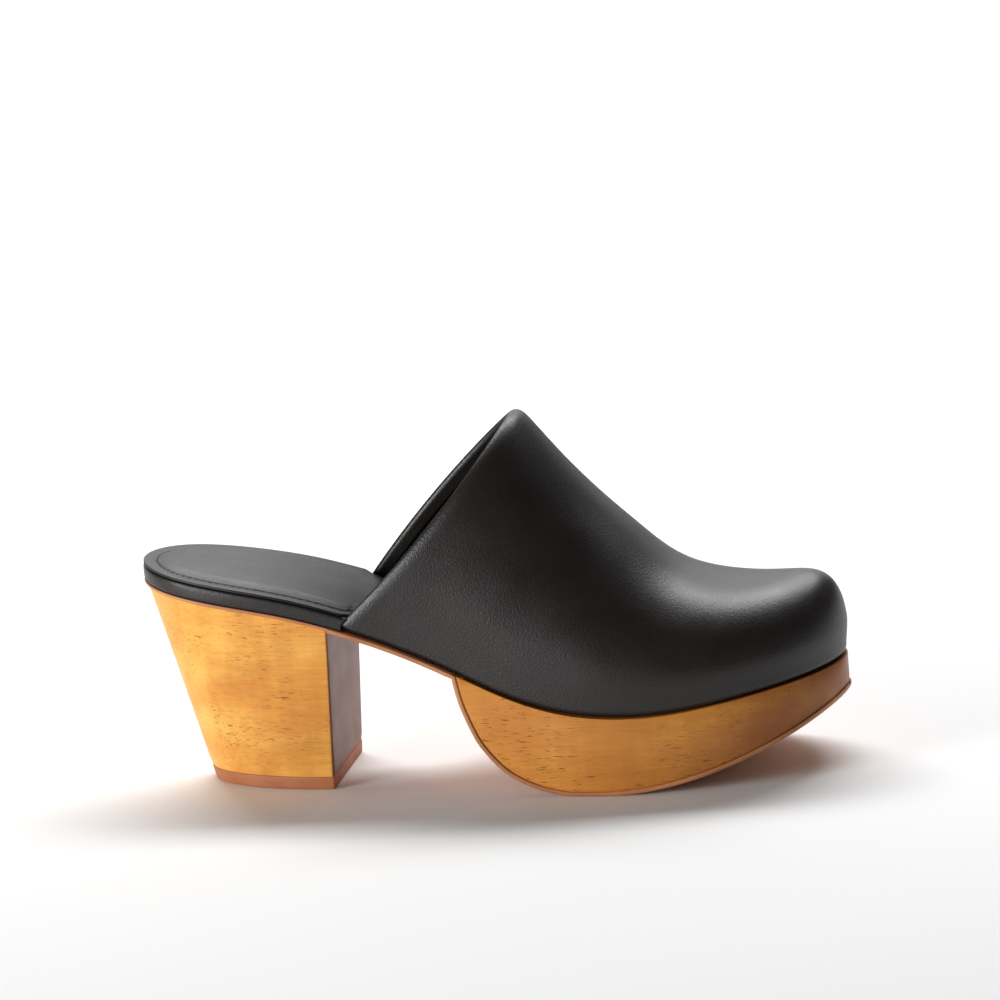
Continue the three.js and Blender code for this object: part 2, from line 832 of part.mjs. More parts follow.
const wood = paint(0xd9903f, 0.45);
const soleLeather = paint(0xb87246, 0.6);
const rubber = paint(0xb9703f, 0.7);
const blackLeather = paint(0x242222, 0.42);
const liningLeather = paint(0x1d1b1b, 0.6);
const fibreboard = paint(0x9c8a6c, 0.9);
const cork = paint(0xa67c52, 0.95);
const foamGrey = paint(0x77787a, 0.95);
const steel = paint(0x9a9da1, 0.35, 1);
const stiffener = paint(0xcfc8b8, 0.8);
const tapeWhite = paint(0xe2e0da, 0.8);
const thread = paint(0x1a1a1a, 0.8);

function mesh(name, solid, material) {
  const { vertProperties, triVerts, numProp, numVert } = solid.getMesh();
  const positions = new Float32Array(numVert * 3);
  for (let i = 0; i < numVert; i++)
    positions.set(vertProperties.subarray(i * numProp, i * numProp + 3), i * 3);
  const geometry = new THREE.BufferGeometry()
    .setAttribute("position", new THREE.BufferAttribute(positions, 3))
    .setIndex(new THREE.BufferAttribute(new Uint32Array(triVerts), 1));
  geometry.computeVertexNormals();
  const made = new THREE.Mesh(geometry, material);
  made.name = name;
  return made;
}

const clearance = vampClearance();
const clog = new THREE.Group();
clog.add(
  mesh("heel_block", heelBlock(), wood),
  mesh("heel_top_lift", topLift(), rubber),
  mesh("platform_block", platformBlock(), wood),
  mesh("outsole", outsole(), soleLeather),
  mesh("insole_board", insoleBoard(clearance), fibreboard),
  mesh("steel_shank", steelShank(), steel),
  mesh("cork_filler", corkFiller(), cork),
  mesh("insole_foam", insoleFoam(clearance), foamGrey),
  mesh("sock_lining", sockLining(clearance), blackLeather),
  mesh("insole_edge_wrap", edgeWrap(clearance), blackLeather),
  mesh("sock_stitching", sockThread(), thread),
  mesh("vamp", vamp(), blackLeather),
  mesh("topline_tape", toplineTape(), tapeWhite),
  mesh("vamp_lining", vampLining(), liningLeather),
  mesh("toe_puff", toePuff(), stiffener),
  mesh("heel_screw", heelScrew(0), steel),
);
nailRing.forEach((place, i) => clog.add(mesh(`heel_nail_${i + 1}`, heelNail(place, 0), steel)));
liftPinPlaces.forEach((place, i) => clog.add(mesh(`lift_pin_${i + 1}`, liftPin(place), steel)));
for (const [name, x] of Object.entries(rivetPlaces)) clog.add(mesh(name, shankRivet(x), steel));

// Put the origin under the middle of the shoe's box.
const box = new THREE.Box3().setFromObject(clog);
const middle = box.getCenter(new THREE.Vector3());
clog.position.set(-middle.x, -middle.y, 0);

export default clog;
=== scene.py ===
"""The looks of a heeled platform clog: wood platform and heel, leather sole, black leather vamp and
padded insole. Every visible piece is built again on a fine grid from the curves that the CAD uses."""
import json
import math
import random

import bmesh
import bpy
import numpy as np
from mathutils import Matrix, Vector


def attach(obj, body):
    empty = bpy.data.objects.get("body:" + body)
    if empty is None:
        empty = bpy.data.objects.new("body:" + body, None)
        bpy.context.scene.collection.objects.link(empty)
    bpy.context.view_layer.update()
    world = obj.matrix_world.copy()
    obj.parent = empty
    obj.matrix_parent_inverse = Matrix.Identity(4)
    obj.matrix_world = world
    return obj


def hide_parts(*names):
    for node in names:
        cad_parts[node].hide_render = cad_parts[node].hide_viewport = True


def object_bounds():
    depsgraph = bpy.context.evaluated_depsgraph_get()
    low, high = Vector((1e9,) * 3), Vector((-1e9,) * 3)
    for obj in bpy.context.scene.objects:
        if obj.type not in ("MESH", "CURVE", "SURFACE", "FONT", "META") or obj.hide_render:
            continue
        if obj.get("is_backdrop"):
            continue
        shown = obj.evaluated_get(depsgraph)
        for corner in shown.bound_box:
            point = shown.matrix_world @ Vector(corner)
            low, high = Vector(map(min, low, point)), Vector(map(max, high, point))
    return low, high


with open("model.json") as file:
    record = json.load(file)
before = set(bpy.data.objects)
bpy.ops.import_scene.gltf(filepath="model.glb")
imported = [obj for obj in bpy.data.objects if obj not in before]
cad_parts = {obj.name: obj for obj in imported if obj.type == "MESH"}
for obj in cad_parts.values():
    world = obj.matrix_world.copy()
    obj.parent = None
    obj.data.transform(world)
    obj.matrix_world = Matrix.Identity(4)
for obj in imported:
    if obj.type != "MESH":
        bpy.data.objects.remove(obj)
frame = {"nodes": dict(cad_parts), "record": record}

cad_low, cad_high = (np.array(corner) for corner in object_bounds())
random.seed(11)

# ---------------------------------------------------------------- sizes, in millimetres

LENGTH, WIDTH = 252.0, 90.0
HEEL_LENGTH, VAMP_LENGTH, PLATFORM_LENGTH, TOE_CAP_LENGTH = 72.0, 114.0, 134.0, 17.0
SEAT, TREAD, TOE, TOE_SPRING = 75.0, 28.0, 36.7, 24.4
TOE_BOX_TOP, THROAT_TOP = 67.5, 131.0
TREAD_FRONT, TREAD_BACK = 80.5, 94.5
SOLE, TONGUE, LIFT = 1.6, 1.2, 4.8
VAMP, LINING, TURNED, TAPE, PUFF = 1.2, 0.9, 1.0, 0.3, 0.8
WRAP_MARGIN = 9.0
BOARD, FOAM, SOCK = 2.2, 1.5, 1.0
GAP, STACK_GAP = 0.3, 0.2
CROWN, RIM = 3.0, 5.0
TURNED_WIDTH, FEATHER, THROAT_ROUND = 4.0, 2.6, 1.6
VAMP_PROUD, VAMP_TUCK, SOLE_PROUD = 0.9, 0.2, 0.6
TOPLINE_SET = {-1: 6.0, 1: 4.5}
HEEL_BASE_LENGTH, HEEL_BASE_WIDTH, BREAST_SET, HEEL_INSET = 48.5, 52.5, 3.0, 0.8

HEEL_BACK, TOE_TIP = -LENGTH / 2, LENGTH / 2
BREAST = HEEL_BACK + HEEL_LENGTH
THROAT = TOE_TIP - VAMP_LENGTH
RIDGE_SPAN = TOE_TIP - TOE_CAP_LENGTH - THROAT
PLATFORM_BACK = TOE_TIP - PLATFORM_LENGTH
STATION = LENGTH / 13

# heights above the sole's top, and depths behind the vamp's face
BOARD_TOP = GAP + VAMP + STACK_GAP + BOARD
FOAM_LOW, FOAM_TOP = BOARD_TOP + GAP, BOARD_TOP + GAP + FOAM
SOCK_LOW, SOCK_TOP = FOAM_TOP + STACK_GAP, FOAM_TOP + STACK_GAP + SOCK
TURNED_DEPTH = VAMP + TAPE + 2 * GAP
FOLD_DEPTH = TURNED_DEPTH + TURNED

# the row frame's origin is the middle of the whole shoe's box
SHIFT = np.array([cad_low[0] * 1000 - HEEL_BACK, cad_low[1] * 1000 + WIDTH / 2 + SOLE_PROUD, 0.0])


def lerp(a, b, t):
    return a + (b - a) * t


def smoothstep(x, low, high):
    t = np.clip((np.asarray(x, float) - low) / (high - low), 0, 1)
    return t * t * (3 - 2 * t)


# ---------------------------------------------------------------- curves

def bspline(f):
    g = 1 - f
    return g**3 / 6, (3 * f**3 - 6 * f * f + 4) / 6, (3 * g**3 - 6 * g * g + 4) / 6, f**3 / 6


def profile(values, skip=0.0):
    """A smooth height curve through values at even stations, straight beyond its ends."""
    pad = 8
    v = np.array(values, float)
    before = v[0] - np.arange(pad, 0, -1) * (v[1] - v[0])
    after = v[-1] + np.arange(1, pad + 1) * (v[-1] - v[-2])
    v = np.concatenate([before, v, after])
    control = v.copy()
    control[1:-1] -= (v[:-2] - 2 * v[1:-1] + v[2:]) / 6

    def curve(x):
        s = (np.asarray(x, float) - HEEL_BACK) / STATION - skip
        i = np.clip(np.floor(s).astype(int), 1 - pad, len(values) + pad - 3)
        weights = bspline(s - i)
        return sum(w * control[i + pad - 1 + k] for k, w in enumerate(weights))

    return curve


SOLE_FALL = [1, 0.936, 0.87, 0.792, 0.673, 0.53, 0.353, 0.164, 0.042, 0]
SOLE_RISE = [0.069, 0.37, 0.713, 1]
sole_top = profile([lerp(TREAD, SEAT, s) for s in SOLE_FALL] + [lerp(TREAD, TOE, s) for s in SOLE_RISE])
RIDGE_FALL = [1.06, 0.663, 0.345, 0.074, -0.016, 0.021, 0.021]
ridge_line = profile([lerp(TOE_BOX_TOP, THROAT_TOP, s) for s in RIDGE_FALL], (THROAT - HEEL_BACK) / STATION)


def ridge_top(x):
    """The ridge's height, level for a little at the throat."""
    return -THROAT_ROUND * np.logaddexp(-ridge_line(x) / THROAT_ROUND, -THROAT_TOP / THROAT_ROUND)


OUTLINE = np.array([
    (-125, 0), (-111, -26), (-80, -32.4), (-46, -33), (-12, -36), (22, -42), (55, -45), (88, -39.5),
    (113, -22), (125, 5), (114, 30), (90, 42), (58, 43.5), (24, 38.5), (-12, 30.5), (-46, 26.5),
    (-80, 29.5), (-111, 26),
], float)


def make_outline(samples=160):
    f = np.arange(samples) / samples
    spans = []
    for i in range(len(OUTLINE)):
        around = [OUTLINE[(i - 1 + j) % len(OUTLINE)] for j in range(4)]
        spans.append(sum(w[:, None] * p for w, p in zip(bspline(f), around)))
    points = np.concatenate(spans)
    low, high = points.min(0), points.max(0)
    return (points - (low + high) / 2) * np.array([LENGTH, WIDTH]) / (high - low)


SIDE_STEPS = 1600


def make_side(side):
    """Evenly spaced points of one side, from the heel back to the toe tip, and their inward normals."""
    loop = make_outline() if side < 0 else make_outline()[::-1]
    loop = np.roll(loop, -int(loop[:, 0].argmin()), axis=0)
    loop = loop[: int(loop[:, 0].argmax()) + 1]
    run = np.concatenate([[0], np.cumsum(np.hypot(*np.diff(loop, axis=0).T))])
    even = np.linspace(0, run[-1], SIDE_STEPS + 1)
    points = np.stack([np.interp(even, run, loop[:, 0]), np.interp(even, run, loop[:, 1])], 1)
    reach = 14
    index = np.arange(SIDE_STEPS + 1)
    along = points[np.minimum(index + reach, SIDE_STEPS)] - points[np.maximum(index - reach, 0)]
    along /= np.hypot(*along.T)[:, None]
    inward = np.stack([along[:, 1] * side, -along[:, 0] * side], 1)
    inward[0], inward[-1] = (1, 0), (-1, 0)
    return points, inward


SIDES = {side: make_side(side) for side in (-1, 1)}
SHARES = np.linspace(0, 1, SIDE_STEPS + 1)


def edge_point(side, share, inset=0.0):
    points, inward = SIDES[side]
    share = np.clip(share, 0, 1)
    x, y, nx, ny = (np.interp(share, SHARES, column) for column in (*points.T, *inward.T))
    return x + nx * inset, y + ny * inset


def share_at(side, x):
    return np.interp(x, SIDES[side][0][:, 0], SHARES)


def edge_y(side, x, inset=0.0):
    return np.interp(x, SIDES[side][0][:, 0], SIDES[side][0][:, 1]) - side * inset


def half_width(side, x, inset=0.0):
    """The outline moved inwards, as Y against X."""
    points, inward = SIDES[side]
    moved = points + inward * inset
    return np.interp(x, moved[:, 0], moved[:, 1])


# ---------------------------------------------------------------- the vamp's surface

FOOT_SHARE = {side: share_at(side, BREAST + TOPLINE_SET[side]) for side in (-1, 1)}
SIDE_LENGTH = (TOE_TIP - BREAST - min(TOPLINE_SET.values())) * 1.12
BOW = {-1: 0.22, 1: -0.2}


TOE_MEET = 0.4  # the share of the ridge over which the two halves turn to meet square


def ridge_share(q):
    """How far along the ridge the line q starts: evenly, then slowing to a stop at the toe."""
    left = np.clip((1 - q) / TOE_MEET, 0, 1)
    return np.where(q < 1 - TOE_MEET, q, 1 - TOE_MEET * left**2 * (3 - 3 * left + left**2))


def vamp_point(side, q, turn, depth):
    """q runs from the topline to the toe, turn from the sole to the ridge, depth in from the face."""
    q, turn, depth = np.broadcast_arrays(*(np.asarray(v, float) for v in (q, turn, depth)))
    power = lerp(2.2, 3.0, smoothstep(q, 0.5, 1))
    cos, sin = np.maximum(np.cos(turn), 0), np.maximum(np.sin(turn), 0)
    reach = (cos**power + sin**power) ** (-1 / power)
    out, up = reach * cos, reach * sin
    share = lerp(FOOT_SHARE[side], 1, q)
    proud = lerp(-VAMP_TUCK, VAMP_PROUD, smoothstep(turn, 0, 0.35))
    foot_x, foot_y = edge_point(side, share, depth - proud)
    ridge_x = THROAT + RIDGE_SPAN * ridge_share(q)
    slope = ridge_top(ridge_x + 0.5) - ridge_top(ridge_x - 0.5)
    ridge_z = ridge_top(ridge_x) - depth * np.hypot(1, slope)
    turned = smoothstep(q, 0.4, 0.85)
    rise = up + BOW[side] * up * (1 - up)
    x = ridge_x + (foot_x - ridge_x) * lerp(1 - rise, out, turned)
    edge = lerp(edge_y(side, x, depth - proud), foot_y, turned)
    ridge_y = lerp(2.5, 5, smoothstep(q, 0, 1))
    taper = lerp(0.1, 0, smoothstep(q, 0, 0.6))
    y = ridge_y + (edge - ridge_y) * out * (1 - taper * up * up)
    base = sole_top(foot_x) + GAP + FEATHER
    return np.stack([x, y, base + (ridge_z - base) * up], -1)


def distance_share(distance, turn):
    return distance / lerp(SIDE_LENGTH, RIDGE_SPAN, np.sin(turn))


def feather_point(side, q, angle, depth):
    """The vamp's bend under the insole: angle 90 is upright and 0 is flat on the sole."""
    share = lerp(FOOT_SHARE[side], 1, q)
    radius = np.maximum(FEATHER - depth, 0)
    inset = np.maximum(depth, FEATHER) - radius * math.sin(angle) + VAMP_TUCK
    x, y = edge_point(side, share, inset)
    foot_x = edge_point(side, share, depth + VAMP_TUCK)[0]
    return np.stack([x, y, sole_top(foot_x) + GAP + FEATHER - radius * math.cos(angle)], -1)


# ---------------------------------------------------------------- meshes

def solid(name, sheets, crease=40):
    """An object from grids of points in millimetres, joined where they meet."""
    vertices, faces = [], []
    for sheet in sheets:
        rows, columns = sheet.shape[:2]
        base = len(vertices)
        vertices.extend((sheet.reshape(-1, 3) + SHIFT) / 1000)
        for i in range(rows - 1):
            for k in range(columns - 1):
                a = base + i * columns + k
                faces.append((a, a + 1, a + columns + 1, a + columns))
    mesh = bpy.data.meshes.new(name)
    mesh.from_pydata([tuple(map(float, v)) for v in vertices], [], faces)
    bm = bmesh.new()
    bm.from_mesh(mesh)
    bmesh.ops.remove_doubles(bm, verts=bm.verts, dist=4e-6)
    bmesh.ops.dissolve_degenerate(bm, edges=bm.edges, dist=1e-6)
    bmesh.ops.recalc_face_normals(bm, faces=bm.faces)
    if bm.calc_volume(signed=True) < 0:
        bmesh.ops.reverse_faces(bm, faces=bm.faces)
    bm.to_mesh(mesh)
    bm.free()
    mesh.shade_smooth()
    mesh.set_sharp_from_angle(angle=math.radians(crease))
    made = bpy.data.objects.new(name, mesh)
    bpy.context.scene.collection.objects.link(made)
    return made


def place(piece, node, slot, material):
    piece.data.materials.append(material)
    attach(piece, "root")
    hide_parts(node)
    return piece


def closed(sheet):
    return np.concatenate([sheet, sheet[:, :1]], 1)


def capped(sheet):
    """A tube of rows that are loops, with a fan at both ends."""
    ends = [np.repeat(row.mean(0)[None], len(row), 0) for row in (sheet[0], sheet[-1])]
    return np.concatenate([ends[0][None], sheet, ends[1][None]])


# ---------------------------------------------------------------- wood and sole

def underside_path():
    """The platform's underside in side view: it rolls down, runs flat and springs up to the toe."""
    shares = np.array([
        (0, 1), (0.045, 0.8), (0.102, 0.641), (0.193, 0.45), (0.292, 0.322), (0.391, 0.224),
        (0.492, 0.152), (0.65, 0.08), (0.805, 0.033), (1, 0),
    ])
    roll_length = TOE_TIP - TREAD_BACK - PLATFORM_BACK
    drop = float(sole_top(PLATFORM_BACK)) - SOLE
    roll = []
    for i in range(len(shares) - 1):
        p0, p1, p2, p3 = (shares[min(max(i + k, 0), len(shares) - 1)] for k in (-1, 0, 1, 2))
        for t in np.arange(10) / 10:
            v0, v1 = (p2 - p0) / 2, (p3 - p1) / 2
            cubic = (2 * p1 - 2 * p2 + v0 + v1) * t**3
            square = (3 * p2 - 3 * p1 - 2 * v0 - v1) * t * t
            roll.append(cubic + square + v0 * t + p1)
    roll = np.array(roll) * [roll_length, drop] + [PLATFORM_BACK, SOLE]
    start = TOE_TIP - TREAD_FRONT
    flat = np.stack([np.linspace(TOE_TIP - TREAD_BACK, start, 6)[:-1], np.full(5, SOLE)], 1)
    x = start + (TREAD_FRONT + SOLE_PROUD) * np.sin(np.linspace(0, math.pi / 2, 60))
    spring = np.stack([x, SOLE + TOE_SPRING * ((x - start) / TREAD_FRONT) ** 1.75], 1)
    return np.concatenate([roll, flat, spring])


UNDERSIDE = underside_path()


def bar(inner, outer, proud, edge):
    """A bent strip between two side-view paths. edge lists (share of the thickness, inset)."""
    tip = TOE_TIP + proud
    rows = []
    for a, b in zip(inner, outer):
        sides = []
        for side in (-1, 1):
            points = []
            for t, inset in edge:
                x, z = lerp(a, b, t)
                x = min(x, tip - inset)
                points.append((x, float(half_width(side, x, inset - proud)), z))
            sides.append(points)
        rows.append(sides[0] + sides[1][::-1])
    return capped(closed(np.array(rows)))


def make_platform():
    path = UNDERSIDE[UNDERSIDE[:, 0] <= TOE_TIP + 1e-6]
    path = np.concatenate([path, [[TOE_TIP, SOLE + TOE_SPRING]]])
    top = np.stack([path[:, 0], sole_top(path[:, 0])], 1)
    top[:, 1] = np.maximum(top[:, 1], path[:, 1] + 0.01)
    edge = [(0, 0.35), (0.012, 0.1), (0.04, 0), (0.5, 0), (0.97, 0), (1, 0.25)]
    return solid("platform_block_wood", [bar(path, top, 0, edge)], 50)


def make_outsole():
    x = np.linspace(BREAST + GAP, PLATFORM_BACK, 40)[:-1]
    inner = np.concatenate([np.stack([x, sole_top(x)], 1), UNDERSIDE])
    along = np.gradient(inner, axis=0)
    along /= np.hypot(*along.T)[:, None]
    smooth = along.copy()
    for _ in range(4):
        smooth[1:-1] = (smooth[:-2] + 2 * smooth[1:-1] + smooth[2:]) / 4
    smooth /= np.hypot(*smooth.T)[:, None]
    outer = inner + np.stack([smooth[:, 1], -smooth[:, 0]], 1) * SOLE
    outer[:, 1] = np.maximum(outer[:, 1], 0)
    edge = [(0, 0.22), (0.1, 0.06), (0.3, 0), (0.62, 0), (0.85, 0.12), (1, 0.5)]
    waist = bar(inner, outer, SOLE_PROUD, edge)
    x = HEEL_BACK + (HEEL_LENGTH + 4) * (1 - np.cos(np.linspace(0, math.pi / 2, 60)))
    low = np.stack([x, sole_top(x) - TONGUE], 1)
    high = np.stack([x, sole_top(x) - 0.02], 1)
    tongue = bar(low, high, 0, [(0, 0.3), (0.25, 0.06), (0.5, 0), (0.8, 0.04), (1, 0.2)])
    return solid("outsole_leather", [waist, tongue], 50)


def heel_loop(height, inset=0.0):
    """The heel's section. height is a number, or a curve of X for a top that follows the sole."""
    turns = np.linspace(0, math.pi / 2, 64)
    halves = []
    for side in (-1, 1):
        seat = np.stack(edge_point(side, share_at(side, BREAST) * np.cos(turns), HEEL_INSET), 1)
        base = np.stack([
            BREAST - BREAST_SET - HEEL_BASE_LENGTH * np.sin(turns),
            side * HEEL_BASE_WIDTH * np.cos(turns) / 2,
        ], 1)
        z = np.full(len(turns), SEAT - 5.0)
        for _ in range(12):
            at = base + (seat - base) * (z / SEAT)[:, None]
            z = height(at[:, 0]) if callable(height) else np.full(len(turns), float(height))
        halves.append(np.column_stack([base + (seat - base) * (z / SEAT)[:, None], z]))
    outer, inner = halves
    round_over = 0.9
    corners = []
    for half, other in ((outer, inner), (inner, outer)):
        corner = half[0]
        ends = [corner + round_over * (p - corner) / np.linalg.norm(p - corner) for p in (other[0], half[1])]
        t = np.linspace(0, 1, 6)[:, None]
        corners.append((1 - t) ** 2 * ends[0] + 2 * t * (1 - t) * corner + t * t * ends[1])
    breast = lerp(corners[1][0], corners[0][0], np.linspace(0, 1, 9)[1:-1, None])
    loop = np.concatenate([corners[0], outer[2:], inner[-2:1:-1], corners[1][::-1], breast])
    if callable(height):
        loop[:, 2] = height(loop[:, 0])
    centre = np.array([BREAST - 27.0, 0.0])
    away = loop[:, :2] - centre
    loop[:, :2] -= inset * away / np.linalg.norm(away, axis=1)[:, None]
    return loop


def make_heel():
    seat = lambda x: sole_top(x) - TONGUE - STACK_GAP
    top = heel_loop(seat)
    bottom = heel_loop(LIFT)
    rows = []
    for t in np.linspace(0, 1, 24):
        inset = 0.35 * (1 - smoothstep(t, 0, 0.03)) if t < 0.5 else 0.3 * smoothstep(t, 0.97, 1)
        row = lerp(bottom, top, t)
        centre = np.array([BREAST - 27.0, 0.0])
        away = row[:, :2] - centre
        row[:, :2] -= inset * away / np.linalg.norm(away, axis=1)[:, None]
        rows.append(row)
    cap = []
    for f in (0.8, 0.5, 0.2, 0.0):
        ring = top.copy()
        ring[:, :2] = lerp(np.array([BREAST - 27.0, 0.0]), top[:, :2], f)
        ring[:, 2] = seat(ring[:, 0])
        cap.append(ring)
    sheet = closed(np.array(rows + cap))
    floor = np.repeat(rows[0].mean(0)[None], sheet.shape[1], 0)
    return solid("heel_block_wood", [np.concatenate([floor[None], sheet])], 42)


def make_lift():
    rows = [heel_loop(z, inset) for z, inset in
            ((0.0, 0.6), (0.12, 0.25), (0.45, 0.03), (1.0, 0), (2.4, 0), (4.0, 0), (4.5, 0.08), (4.76, 0.35))]
    return solid("heel_top_lift_rubber", [capped(closed(np.array(rows)))], 50)


# ---------------------------------------------------------------- vamp

TURNS = np.linspace(0, math.pi / 2, 40)
BENDS = np.radians([8, 25, 45, 65, 82])
TOPLINE_ROLL = 4.2  # how far in front of the topline the leather starts to roll over


def across(q_of, depth):
    """One line of a vamp layer, from the outer feather line over the ridge to the inner one."""
    halves = []
    for side in (-1, 1):
        q0 = q_of(0.0)
        bend = [feather_point(side, q0, angle, depth) for angle in BENDS]
        halves.append(np.concatenate([np.array(bend), vamp_point(side, q_of(TURNS), TURNS, depth)]))
    return np.concatenate([halves[0], halves[1][::-1][1:]])


def at_distance(distance):
    return lambda turn: distance_share(distance, turn) * np.ones_like(turn)


def at_share(q):
    return lambda turn: q * np.ones_like(turn)


def make_vamp():
    spread = np.linspace(0, 1, 90)
    toe = [at_share(lerp(0.055, 1, 1 - (1 - s) ** 1.3)) for s in spread]
    flap = [1.4, 2.2, 3.0, 3.6]
    near = [5.2, 6.0]
    half = FOLD_DEPTH / 2
    outer = [(q, 0.0) for q in toe[::-1]] + [(at_distance(d), 0.0) for d in near[::-1]]
    fold = [
        (at_distance(TOPLINE_ROLL - (TOPLINE_ROLL + 1.2) * math.sin(a)), half - half * math.cos(a))
        for a in np.linspace(0, math.pi / 2, 16)
    ] + [
        (at_distance(0.6 - 1.8 * math.sin(a)), half - half * math.cos(a))
        for a in np.linspace(math.pi / 2, math.pi, 9)[1:]
    ]
    turned = [(at_distance(d), FOLD_DEPTH) for d in flap]
    lip = [
        (at_distance(TURNED_WIDTH - 0.05), FOLD_DEPTH - 0.25),
        (at_distance(TURNED_WIDTH), FOLD_DEPTH - 0.7),
    ]
    back = [(at_distance(d), TURNED_DEPTH) for d in flap[::-1]]
    under = [(at_distance(0.8), 1.75)]
    inner = [(at_distance(d), VAMP + 0.25 * math.exp(-d)) for d in (1.6, 2.6)]
    inner += [(at_distance(d), VAMP) for d in near] + [(q, VAMP) for q in toe]
    path = outer + fold + turned + lip + back + under + inner
    sheet = np.array([across(q, depth) for q, depth in path])
    foot = [np.stack([sheet[: len(toe), k], sheet[-len(toe):][::-1, k]], 1) for k in (0, -1)]
    return solid("vamp_leather", [sheet] + foot, 60)


def make_lining():
    depth_at = lambda q: lerp(VAMP + GAP, VAMP + STACK_GAP + PUFF + GAP, smoothstep(q, 0.55, 0.7))
    start = TURNED_WIDTH + 0.35
    shares = np.linspace(0.075, 1, 64)
    lines = [at_distance(start), at_distance(start + 1)] + [at_share(q) for q in shares]
    rows = []
    for step, thick in ((1, 0), (-1, LINING)):
        for q in lines[::step]:
            depth = float(depth_at(np.mean(q(TURNS)))) + thick
            halves = [vamp_point(side, q(TURNS), TURNS, depth) for side in (-1, 1)]
            rows.append(np.concatenate([halves[0], halves[1][::-1][1:]]))
    rows.append(rows[0])
    return solid("vamp_lining_leather", [np.array(rows)], 60)


# ---------------------------------------------------------------- insole

def topline_x(side, height):
    """Where the vamp's folded edge stands, at a height above the sole's top."""
    turns = np.linspace(0, 0.5, 60)
    points = vamp_point(side, distance_share(-1.35, turns), turns, FOLD_DEPTH / 2)
    above = points[:, 2] - sole_top(points[:, 0])
    return np.interp(height, above, points[:, 0])


def pad(edge_of, low, high, edge, steps=260):
    """A pad over the outline. edge lists (inset, drop of the top, lift of the bottom) at its rim."""
    inside = [1.8, 2.6, 3.4, 4.1, 4.5, 4.75, 5.0, 5.25, 5.5, 5.9, 6.6, 7.6, 8.8, 10.2, 12, 14.5, 17.5, 21]
    insets = [inset for inset, _, _ in edge] + inside
    drops = [drop for _, drop, _ in edge] + [0.0] * len(inside)
    lifts = [lift for _, _, lift in edge] + [0.0] * len(inside)
    shares = (1 - np.cos(np.linspace(0, math.pi, steps))) / 2
    rows = {}
    for name, height, moves, sign in (("high", high, drops, -1), ("low", low, lifts, 1)):
        grid = []
        for side in (-1, 1):
            columns = []
            for inset, move in zip(insets, moves):
                x, y = edge_point(side, shares, edge_of(side, shares) + inset)
                columns.append(np.stack([x, y, sole_top(x) + height(inset) + sign * move], 1))
            grid.append(np.stack(columns, 1))
        middle = [lerp(grid[0][:, -1], grid[1][:, -1], t)[:, None] for t in (0.2, 0.4, 0.6, 0.8)]
        rows[name] = np.concatenate([grid[0], *middle, grid[1][:, ::-1]], 1)
    walls = [np.stack([rows["high"][:, k], rows["low"][:, k]], 1) for k in (0, -1)]
    return [rows["high"], rows["low"], *walls]


def sock_edge(side, shares):
    x = edge_point(side, shares)[0]
    stop = topline_x(side, SOCK_TOP)
    return 0.2 + (FOLD_DEPTH + 0.35) * smoothstep(x, stop - 1.8, stop - 0.4)


def crown_at(inset):
    """The padding's lift: a quick rise inside the stitching, then a slow one to the middle."""
    quick = 0.35 * smoothstep(inset, RIM - 0.4, RIM + 4)
    slow = 0.65 * smoothstep(inset, RIM - 2, RIM + 17)
    return CROWN * (quick + slow)


def make_sock():
    groove = lambda inset: 0.32 * math.exp(-(((inset - RIM + 0.2) / 0.45) ** 2))
    edge = [(0, 0.5, 0.25), (0.08, 0.25, 0.1), (0.3, 0.08, 0), (0.7, 0, 0), (1.2, 0, 0)]
    sheets = pad(
        sock_edge,
        lambda inset: SOCK_LOW + crown_at(max(inset - 1, 0)),
        lambda inset: SOCK_TOP + crown_at(inset) - groove(inset),
        edge,
    )
    return solid("sock_leather", sheets, 60)


def make_foam():
    sheets = pad(
        lambda side, shares: sock_edge(side, shares) + 1.3,
        lambda inset: FOAM_LOW,
        lambda inset: FOAM_TOP + crown_at(max(inset - 1, 0)) * 0.95,
        [(0, 0.3, 0.3), (0.3, 0, 0)],
        160,
    )
    return solid("insole_foam_pad", sheets, 60)


def make_wrap():
    """The insole's leather edge, from one back corner of the vamp round the heel to the other."""
    section = [
        (WRAP_MARGIN, 0.3), (0.7, 0.3), (0.28, 0.42), (0.06, 0.8), (0.0, 1.5), (-0.05, 2.6), (-0.05, 3.7),
        (0.0, 4.6), (0.12, 5.1), (0.36, 5.5), (0.75, 5.7), (0.9, 5.6), (0.9, 1.25), (WRAP_MARGIN, 1.2),
    ]
    t = np.linspace(-1, 1, 181)
    columns = []
    for inset, height in section:
        points = []
        for side, part in ((-1, t[t < 0]), (1, t[t >= 0])):
            end = share_at(side, topline_x(side, height) + 0.35)
            x, y = edge_point(side, np.abs(part) * end, inset)
            points.append(np.stack([x, y, sole_top(x) + height], 1))
        columns.append(np.concatenate(points))
    sheet = np.stack(columns, 1)
    return solid("insole_edge_band", [capped(closed(sheet))], 60)


